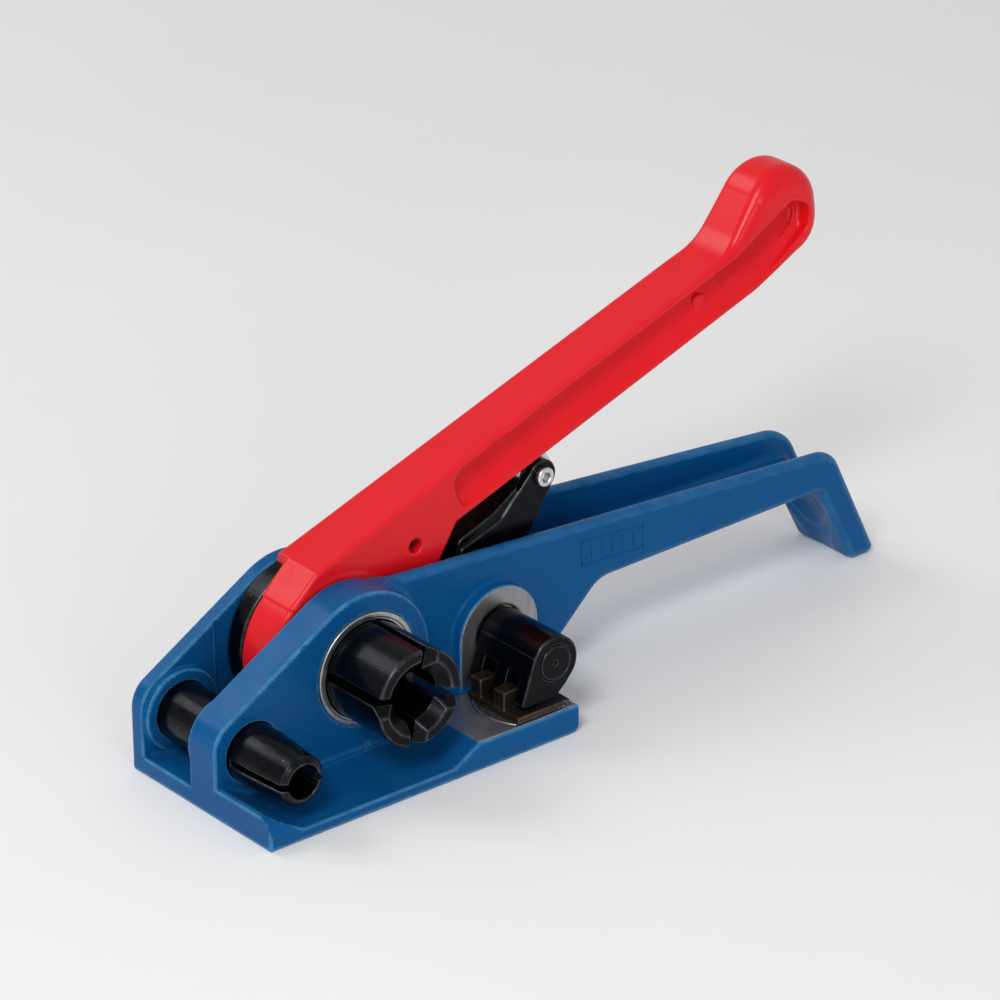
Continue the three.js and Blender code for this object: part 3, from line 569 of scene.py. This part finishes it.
def gripper_shaft():
    def field(x, y, z):
        r = ring(GRIPPER, x, z)
        pin = both(r - PIN_R, slab(y, ARM_END - 0.4, BOSS_FACE + 1), 0.5)
        shaft = both(r - 8, slab(y, BOSS_FACE, 26.6), 0.6)
        dimple = np.hypot(r, y - ARM_END + 1.0) - 1.3
        groove = np.maximum(6.9 - r, slab(y, 23.9, 25.3))
        return without(np.minimum(pin, shaft), np.minimum(dimple, groove), 0.15)

    return field


def saw(v):
    """Height of a row of pointed teeth: 0 at a point, 1 in a gullet."""
    return np.abs((v / TOOTH_PITCH) % 1 * 2 - 1)


def gripper_foot():
    sole_side = flat([
        [FOOT_X0, FOOT_Z0], [FOOT_X1 - 5, FOOT_Z0], [FOOT_X1, FOOT_Z0 + 1.9], [FOOT_X1, FOOT_Z1],
        [FOOT_X0, FOOT_Z1],
    ])

    def field(x, y, z):
        sole = both(sole_side(x, z), slab(y, FOOT_Y0, FOOT_Y1), 0.3)
        across, along = x - FOOT_X0 + TOOTH_PITCH / 2, y - FOOT_Y0 + TOOTH_PITCH / 2
        teeth = np.maximum(saw(across), saw(along)) * TOOTH_DEPTH
        sole = np.maximum(sole, (FOOT_Z0 + teeth - z) * 0.7)
        body = sole
        for lug_y in LUG_YS:
            lug = block(x, y, z, (FOOT_X0, lug_y, FOOT_Z1 - 1),
                        (FOOT_X0 + LUG_DEPTH, lug_y + LUG_WIDTH, LUG_TOP), 0.4)
            body = either(body, lug, 0.4)
        return without(body, np.maximum(ring(FOOT_PIVOT, x, z) - FOOT_BORE, slab(y, -60, -20)))

    return field


def release_yoke():
    rx, rz = ROLLER
    side = flat([
        [51.6, 34], [56.6, 60.2, 3], [75.4, 66.6, 5], [90.4, 82], [rx + 6, rz - 2], [88.6, 57], [75, 26],
    ])
    spine = flat([
        [51.6, 36], [56, 63.6, 3], [72.8, 69.8, 4], [84, 77], [83, 71.5], [74.6, 63.2, 4], [62, 58, 4],
        [58, 40],
    ])

    def field(x, y, z):
        cheek = np.minimum(side(x, z), ring(ROLLER, x, z) - 6.2)
        near = both(cheek, slab(y, YOKE_Y0, YOKE_Y0 + CHEEK), 0.5)
        far = both(cheek, slab(y, YOKE_Y1 - CHEEK, YOKE_Y1), 0.5)
        middle = both(spine(x, z), slab(y, YOKE_Y0 + 1, YOKE_Y1 - 1), 0.5)
        hub = disc(GRIPPER, 12.5, YOKE_Y0, YOKE_Y1, x, y, z, 0.6)
        body = either(either(np.minimum(near, far), middle, 0.8), hub, 1.0)
        return without(body, np.minimum(ring(GRIPPER, x, z) - 8.3, ring(ROLLER, x, z) - ROLLER_BORE), 0.3)

    return field


def yoke_roller():
    def field(x, y, z):
        body = disc(ROLLER, ROLLER_R, YOKE_Y0 + CHEEK + 0.3, YOKE_Y1 - CHEEK - 0.3, x, y, z, 0.6)
        return without(body, ring(ROLLER, x, z) - ROLLER_BORE, 0.3)

    return field


def roller_screw():
    y0, y1 = YOKE_Y0, YOKE_Y1

    def field(x, y, z):
        dx, dz = x - ROLLER[0], z - ROLLER[1]
        head = both(np.hypot(dx, dz) - 3.8, slab(y, y0 - 2.2, y0 - 0.3), 0.7)
        body = either(head, both(np.hypot(dx, dz) - 3.2, slab(y, y0 - 1, y1 + 4.4), 0.4), 0.1)
        flats = [np.abs(dx * math.cos(a) + dz * math.sin(a)) - 1.85 for a in (0.3, 1.347, 2.394)]
        socket = np.maximum(np.maximum.reduce(np.broadcast_arrays(*flats)), y - y0 - 1.2)
        return without(body, socket, 0.25)

    return field


def bearing_ring():
    def field(x, y, z):
        r = ring(WINDLASS, x, z)
        body = both(r - BUSH_R, slab(y, NEAR_OUT - 0.5, NEAR_IN - 0.5), 0.3)
        lip = np.maximum(r - 20.0, y - NEAR_OUT + 0.1)
        return without(without(body, r - DRUM_R - 0.3, 0.3), lip, 0.15)

    return field


def anvil():
    def field(x, y, z):
        edge = np.hypot(x - ANVIL_X, y - ANVIL_Y) - ANVIL_R
        side = both(edge, block(x, y, z, (30, -54.6, 0), (67.5, -28.5, 30)), 0.3)
        return both(side, slab(z, PLATFORM_Z - 4.2, PLATFORM_Z), 0.35)

    return field


# ---------- materials ----------
class Looks:
    """A node material under construction."""

    def __init__(self, name, roughness, metallic=0.0):
        self.material = bpy.data.materials.new(name)
        self.material.use_nodes = True
        self.tree = self.material.node_tree
        self.shader = self.tree.nodes["Principled BSDF"]
        self.shader.inputs["Metallic"].default_value = metallic
        self.shader.inputs["Roughness"].default_value = roughness
        self.place = self.add("ShaderNodeTexCoord").outputs["Object"]

    def add(self, kind, **settings):
        node = self.tree.nodes.new(kind)
        for key, value in settings.items():
            setattr(node, key, value)
        return node

    def link(self, source, target):
        self.tree.links.new(source, target)

    def stretched(self, scale):
        """The row coordinates multiplied per axis, so that noise runs long where the scale is small."""
        mapping = self.add("ShaderNodeMapping")
        mapping.inputs["Scale"].default_value = scale
        self.link(self.place, mapping.inputs["Vector"])
        return mapping.outputs["Vector"]

    def noise(self, scale, detail=4.0, roughness=0.55, vector=None):
        node = self.add("ShaderNodeTexNoise")
        node.inputs["Scale"].default_value = scale
        node.inputs["Detail"].default_value = detail
        node.inputs["Roughness"].default_value = roughness
        self.link(vector or self.place, node.inputs["Vector"])
        return node.outputs["Fac"]

    def spread(self, value, low, high, start=0.3, end=0.7):
        """Maps a value from start..end to low..high."""
        node = self.add("ShaderNodeMapRange")
        for key, number in zip(("From Min", "From Max", "To Min", "To Max"), (start, end, low, high)):
            node.inputs[key].default_value = number
        self.link(value, node.inputs["Value"])
        return node.outputs["Result"]

    def sum(self, a, b, how="ADD"):
        node = self.add("ShaderNodeMath", operation=how)
        for socket, value in zip(node.inputs, (a, b)):
            if isinstance(value, (int, float)):
                socket.default_value = value
            else:
                self.link(value, socket)
        return node.outputs[0]

    def mix(self, share, a, b):
        node = self.add("ShaderNodeMix", data_type="RGBA")
        self.link(share, node.inputs["Factor"])
        for socket, colour in zip((node.inputs[6], node.inputs[7]), (a, b)):
            if isinstance(colour, tuple):
                socket.default_value = (*colour, 1)
            else:
                self.link(colour, socket)
        return node.outputs[2]

    def cutter_rings(self, centre, pitch):
        """Uneven fine rings about a vertical axis, as a facing cutter leaves them."""
        parts = self.add("ShaderNodeSeparateXYZ")
        self.link(self.place, parts.inputs[0])
        squares = [self.sum(self.sum(parts.outputs[axis], centre[axis] * MM, "SUBTRACT"), 2, "POWER")
                   for axis in (0, 1)]
        radius = self.sum(self.sum(*squares), 0.5, "POWER")
        node = self.add("ShaderNodeTexNoise", noise_dimensions="1D")
        node.inputs["Scale"].default_value = pitch
        node.inputs["Detail"].default_value = 3
        self.link(radius, node.inputs["W"])
        return self.spread(node.outputs["Fac"], 0, 1, 0.35, 0.65)

    def edge(self, strength):
        """How sharply the surface bends outwards, from the mesh's edge attribute."""
        node = self.add("ShaderNodeAttribute", attribute_name="edge")
        return self.sum(node.outputs["Fac"], strength, "MULTIPLY")

    def bump(self, height, strength, distance):
        node = self.add("ShaderNodeBump")
        node.inputs["Strength"].default_value = strength
        node.inputs["Distance"].default_value = distance
        self.link(height, node.inputs["Height"])
        self.link(node.outputs["Normal"], self.shader.inputs["Normal"])

    def use(self, **values):
        for key, value in values.items():
            self.link(value, self.shader.inputs[key.replace("_", " ")])
        return self.material


def paint(name, colour, light, dark, tint, roughness, bump, gloss, edge_highlight):
    """Enamel on a casting: faint clouding, convex edges lightened as a painted highlight, and orange
    peel.
    """
    look = Looks(name, roughness)
    look.shader.inputs["Specular IOR Level"].default_value = gloss
    look.shader.inputs["Specular Tint"].default_value = (*tint, 1)
    cloud = look.spread(look.noise(22, 5), 0, 1)
    base = look.mix(cloud, dark, colour)
    # painted highlight: convex edges are mixed toward the light colour to stand in for the shine along
    # rounded edges
    highlit_edge_share = look.sum(look.edge(edge_highlight), look.spread(look.noise(160, 6), 0.35, 1.0), "MULTIPLY")
    base = look.mix(highlit_edge_share, base, light)
    grime = look.spread(look.noise(60, 8, 0.7), 0, 0.3, 0.56, 0.75)
    base = look.mix(grime, base, tuple(c * 0.7 for c in dark))
    peel = look.sum(look.noise(420, 3), look.sum(look.noise(1900, 2), 0.35, "MULTIPLY"))
    look.bump(peel, bump, 0.0004)
    rough = look.spread(look.noise(70, 6), roughness - 0.05, roughness + 0.08)
    return look, base, rough


def mask_box(look, low, high):
    """1 inside a box of row coordinates, and 0 outside it."""
    parts = look.add("ShaderNodeSeparateXYZ")
    look.link(look.place, parts.inputs[0])
    share = None
    for axis, (a, b) in enumerate(zip(low, high)):
        for limit, how in ((a, "GREATER_THAN"), (b, "LESS_THAN")):
            if limit is None:
                continue
            inside = look.sum(parts.outputs[axis], limit * MM, how)
            share = inside if share is None else look.sum(share, inside, "MULTIPLY")
    return share


def blue_paint():
    """The frame's enamel, left off the machined boss face and the machined platform."""
    # (0.10, 0.32, 0.56) and 0.6 are the colour and strength of the painted edge highlight
    look, base, rough = paint(
        "blue_enamel", (0.0035, 0.090, 0.270), (0.10, 0.32, 0.56), (0.0025, 0.076, 0.235),
        (0.25, 0.6, 0.9), 0.26, 0.14, 0.2, 0.6)
    face = mask_box(look, (GRIPPER[0] - 19, -40, PLATFORM_Z + 1),
                    (GRIPPER[0] + 19, BOSS_FACE + 0.12, 50))
    top = mask_box(look, (24.6, LEDGE_Y - 1, PLATFORM_Z - 0.25),
                   (LEDGE_REAR_X + 1, BOSS_FACE - 2, 12.4))
    marks = look.noise(1, 5, 0.6, look.stretched((300, 60, 90)))
    steel = look.mix(look.spread(marks, 0, 1), (0.30, 0.30, 0.31), (0.42, 0.42, 0.43))
    rings = look.cutter_rings((ANVIL_X, ANVIL_Y), 2600)
    milled = look.mix(rings, (0.24, 0.24, 0.245), (0.60, 0.60, 0.61))
    steel = look.mix(top, steel, milled)
    bare = look.sum(face, top, "MAXIMUM")
    metal = look.sum(bare, 0.9, "MULTIPLY")
    rough = look.sum(rough, look.sum(bare, 0.1, "MULTIPLY"))
    return look.use(Base_Color=look.mix(bare, base, steel), Metallic=metal, Roughness=rough)


def red_paint():
    # (0.86, 0.05, 0.06) and 0.12 are the colour and strength of the painted edge highlight
    look, base, rough = paint(
        "red_enamel", (0.78, 0.010, 0.018), (0.86, 0.05, 0.06), (0.73, 0.008, 0.014),
        (1.0, 0.8, 0.8), 0.24, 0.08, 0.28, 0.12)
    return look.use(Base_Color=base, Roughness=rough)


def dark_steel(name, colour, light, roughness, metallic, grain=TOOL_MARKS):
    """Blackened machined steel: tool marks along one axis, edges lightened as a painted highlight, and
    small scuffs.
    """
    look = Looks(name, roughness, metallic)
    cloud = look.spread(look.noise(110, 6), 0, 1)
    lift = tuple(c * 1.7 for c in colour)
    base = look.mix(cloud, colour, lift)
    scuffs = look.spread(look.noise(520, 8, 0.7), 0, 0.5, 0.64, 0.72)
    base = look.mix(scuffs, base, light)
    # painted highlight: bent-out edges are mixed toward the light colour to stand in for the shine along
    # edges
    edge_highlight = look.sum(look.edge(0.36), look.spread(look.noise(240, 6), 0.1, 1.0), "MULTIPLY")
    base = look.mix(edge_highlight, base, light)
    marks = look.noise(1, 4, 0.6, look.stretched(grain))
    look.bump(marks, 0.22, 0.0002)
    rough = look.sum(look.spread(look.noise(180, 6), roughness - 0.08, roughness + 0.1),
                     look.spread(marks, -0.04, 0.05))
    return look.use(Base_Color=base, Roughness=rough)


def bright_steel(name, low, high, roughness):
    """Bare or plated steel with fine cutting marks, stains, and edges made brighter as a painted
    highlight.
    """
    look = Looks(name, roughness, 0.95)
    marks = look.noise(1, 5, 0.6, look.stretched(TOOL_MARKS))
    base = look.mix(look.spread(marks, 0, 1), low, high)
    stain = look.spread(look.noise(90, 6), 0, 0.45, 0.55, 0.8)
    base = look.mix(stain, base, tuple(c * 0.55 for c in low))
    # painted highlight: bent-out edges are made brighter
    base = look.mix(look.edge(0.3), base, tuple(min(1, c * 1.35) for c in high))
    look.bump(marks, 0.18, 0.0002)
    rough = look.spread(look.noise(260, 6), roughness - 0.08, roughness + 0.12)
    return look.use(Base_Color=base, Roughness=rough)


def make_materials():
    return {
        "blue_paint": blue_paint(),
        "red_paint": red_paint(),
        # the second colour of each dark steel is that of its scuffs and of its painted edge highlight
        "black_steel": dark_steel("black_oxide", (0.004, 0.0045, 0.006), (0.20, 0.205, 0.22),
                                  0.22, 0.84),
        "brown_steel": dark_steel("brown_temper", (0.034, 0.023, 0.016), (0.34, 0.28, 0.22), 0.36,
                                  0.8, (300, 300, 700)),
        "machined_steel": bright_steel("machined_steel", (0.34, 0.34, 0.345), (0.58, 0.58, 0.585),
                                       0.32),
        "zinc_steel": bright_steel("zinc_plate", (0.50, 0.51, 0.53), (0.74, 0.75, 0.77), 0.26),
        "bronze": bright_steel("bearing_bronze", (0.33, 0.19, 0.08), (0.55, 0.36, 0.17), 0.34),
    }


# ---------- small pieces ----------
def finish_plain_nodes():
    """CAD nodes that stay in view get their material, softened edges and smooth round faces."""
    for name, node in FRAME["nodes"].items():
        if node.hide_render:
            continue
        node.data.materials.clear()
        node.data.materials.append(MATERIALS[SLOTS[name]])
        bevel = node.modifiers.new("edges", "BEVEL")
        bevel.width = PLAIN_EDGE * MM
        bevel.segments = 2
        bevel.limit_method = "ANGLE"
        bevel.angle_limit = math.radians(32)
        node.data.shade_smooth()
        smooth = node.modifiers.new("weights", "WEIGHTED_NORMAL")
        smooth.keep_sharp = True


def raised_bars():
    """A plain raised frame with plain bars in it, on the near wall of the handle."""
    def bar(name, x0, z0, x1, z1, thick):
        along = np.array([x1 - x0, z1 - z0])
        length = np.hypot(*along)
        along = along / length
        side = np.array([-along[1], along[0]]) * thick / 2
        profile = [(-1, 0.3), (-0.55, -0.28), (0.55, -0.28), (1, 0.3)]
        points, faces = [], []
        for end, reach in ((0.0, thick / 2), (1.0, -thick / 2)):
            for across, out in profile:
                shrink = reach if out > 0 else reach * 0.6
                at = np.array([x0, z0]) + along * (length * end - shrink) + side * across
                points.append((at[0], HANDLE_NEAR_OUT + out, at[1]))
        for i in range(3):
            faces.append((i, i + 1, i + 5, i + 4))
        faces += [(0, 4, 7, 3), (3, 2, 1, 0), (4, 5, 6, 7)]
        piece = mesh_piece(name, points, faces, MATERIALS["blue_paint"])
        piece.data.shade_flat()
        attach(piece, "frame")

    def corner(u, v):
        right = u * PLATE_WIDTH
        return PLATE_CORNER[0] + right, PLATE_CORNER[1] + v * PLATE_HEIGHT - right * TOP_FALL

    corners = [corner(0, 0), corner(1, 0), corner(1, 1), corner(0, 1)]
    for i, (a, b) in enumerate(zip(corners, corners[1:] + corners[:1])):
        bar(f"plate_border_{i + 1}", *a, *b, 0.8)
    for i, u in enumerate((0.16, 0.33, 0.5, 0.67, 0.84)):
        bar(f"plate_bar_{i + 1}", *corner(u, 0.24), *corner(u, 0.76), 1.1)


def ejector_rings():
    """Faint circles that the mould's ejector pins leave on the near nose plate."""
    for i, (x, z, radius) in enumerate(((-46.8, 37.3, 2.6), (-27.5, 53.0, 2.0), (-13.0, 15.3, 3.4))):
        bpy.ops.mesh.primitive_torus_add(
            major_segments=48, minor_segments=8, major_radius=radius * MM, minor_radius=0.22 * MM,
            location=(x * MM, (NEAR_OUT + 0.1) * MM, z * MM), rotation=(math.pi / 2, 0, 0))
        piece = bpy.context.object
        piece.name = f"mould_mark_{i + 1}"
        piece.data.transform(piece.matrix_world)
        piece.matrix_world = Matrix.Identity(4)
        piece.data.materials.append(MATERIALS["blue_paint"])
        piece.data.shade_smooth()
        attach(piece, "frame")


# ---------- stage ----------
def stage():
    world = bpy.data.worlds.new("studio")
    bpy.context.scene.world = world
    world.use_nodes = True
    world.node_tree.nodes["Background"].inputs["Color"].default_value = (1, 1, 1, 1)
    world.node_tree.nodes["Background"].inputs["Strength"].default_value = WORLD_STRENGTH
    bpy.ops.mesh.primitive_plane_add(size=12, location=(0, 0, -0.0002))
    floor = bpy.context.object
    floor.name = "floor"
    look = Looks("pale_floor", 0.6)
    cloud = look.spread(look.noise(3, 3), 0, 1)
    floor.data.materials.append(look.use(Base_Color=look.mix(cloud, (0.90,) * 3, (0.93,) * 3)))
    for light in LIGHTS:
        add_light(*light)


def add_light(name, place, size, power):
    data = bpy.data.lights.new(name, "AREA")
    data.shape = "DISK"
    data.size = size
    data.energy = power
    lamp = bpy.data.objects.new(name, data)
    lamp.location = place
    lamp.rotation_euler = (Vector(AIM) - Vector(place)).to_track_quat("-Z", "Y").to_euler()
    bpy.context.scene.collection.objects.link(lamp)


def camera():
    a, e, r = (math.radians(v) for v in (CAMERA_AZIMUTH, CAMERA_ELEVATION, CAMERA_ROLL))
    back = Vector((math.sin(a) * math.cos(e), -math.cos(a) * math.cos(e), math.sin(e)))
    right = Vector((math.cos(a), math.sin(a), 0))
    up = back.cross(right)
    turned_right = right * math.cos(r) + up * math.sin(r)
    turned_up = up * math.cos(r) - right * math.sin(r)
    data = bpy.data.cameras.new("camera")
    data.lens = CAMERA_LENS
    data.sensor_width = 36
    data.clip_start, data.clip_end = 0.05, 50
    eye = bpy.data.objects.new("camera", data)
    turn = Matrix((turned_right, turned_up, back)).transposed().to_4x4()
    eye.matrix_world = Matrix.Translation(Vector(AIM) + back * CAMERA_DISTANCE) @ turn
    bpy.context.scene.collection.objects.link(eye)
    bpy.context.scene.camera = eye


# ---------- assembly ----------
for old in list(bpy.data.objects):
    bpy.data.objects.remove(old)
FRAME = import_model()
SLOTS = {part["node"]: part["material_slot"] for part in FRAME["record"]["subparts"]}
PLACES = {j["name"]: [v / MM for v in j["pos_m"]] for j in FRAME["joints"]}


def axis_of(joint):
    return PLACES[joint][0], PLACES[joint][2]


def middle_of(node):
    low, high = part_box(node)
    return (low.x + high.x) / 2 / MM, (low.z + high.z) / 2 / MM


WINDLASS = axis_of("windlass_spin")
GRIPPER = axis_of("gripper_release")
ROLLER = axis_of("roller_spin")
DRIVE_PIVOT = axis_of("drive_pawl_swing")
FOOT_PIVOT = axis_of("foot_tilt")
GUIDE = middle_of("guide_pin")
MATERIALS = make_materials()
ARM_TURN = math.atan(ARM_SLOPE)

carve("frame_casting", frame_casting(), "frame_body", MATERIALS["blue_paint"], 0.8)
carve("lever_casting", lever_casting(), "lever", MATERIALS["red_paint"], 0.65, ARM_TURN, WINDLASS)
carve("windlass_drum", windlass_drum(), "windlass_shaft", MATERIALS["black_steel"], 0.4)
carve("guide_pin_turned", guide_pin(), "guide_pin", MATERIALS["black_steel"], 0.4)
carve("bearing_ring", bearing_ring(), "near_bearing_bush", MATERIALS["machined_steel"], 0.4)
carve("pressed_guard", ratchet_guard(), "ratchet_guard", MATERIALS["black_steel"], 0.5)
carve("anvil_block", anvil(), "anvil_insert", MATERIALS["machined_steel"], 0.4)
carve("gripper_arm_forged", gripper_arm(), "gripper_arm", MATERIALS["black_steel"], 0.33)
carve("gripper_shaft_turned", gripper_shaft(), "gripper_shaft", MATERIALS["black_steel"], 0.4)
carve("gripper_foot_serrated", gripper_foot(), "gripper_foot", MATERIALS["brown_steel"], 0.27)
carve("yoke_forged", release_yoke(), "release_yoke", MATERIALS["black_steel"], 0.45)
carve("yoke_roller_turned", yoke_roller(), "yoke_roller", MATERIALS["zinc_steel"], 0.4)
carve("roller_screw_plated", roller_screw(), "roller_screw", MATERIALS["zinc_steel"], 0.25)
raised_bars()
ejector_rings()
finish_plain_nodes()
stage()
camera()
bpy.context.scene.view_settings.view_transform = "Standard"
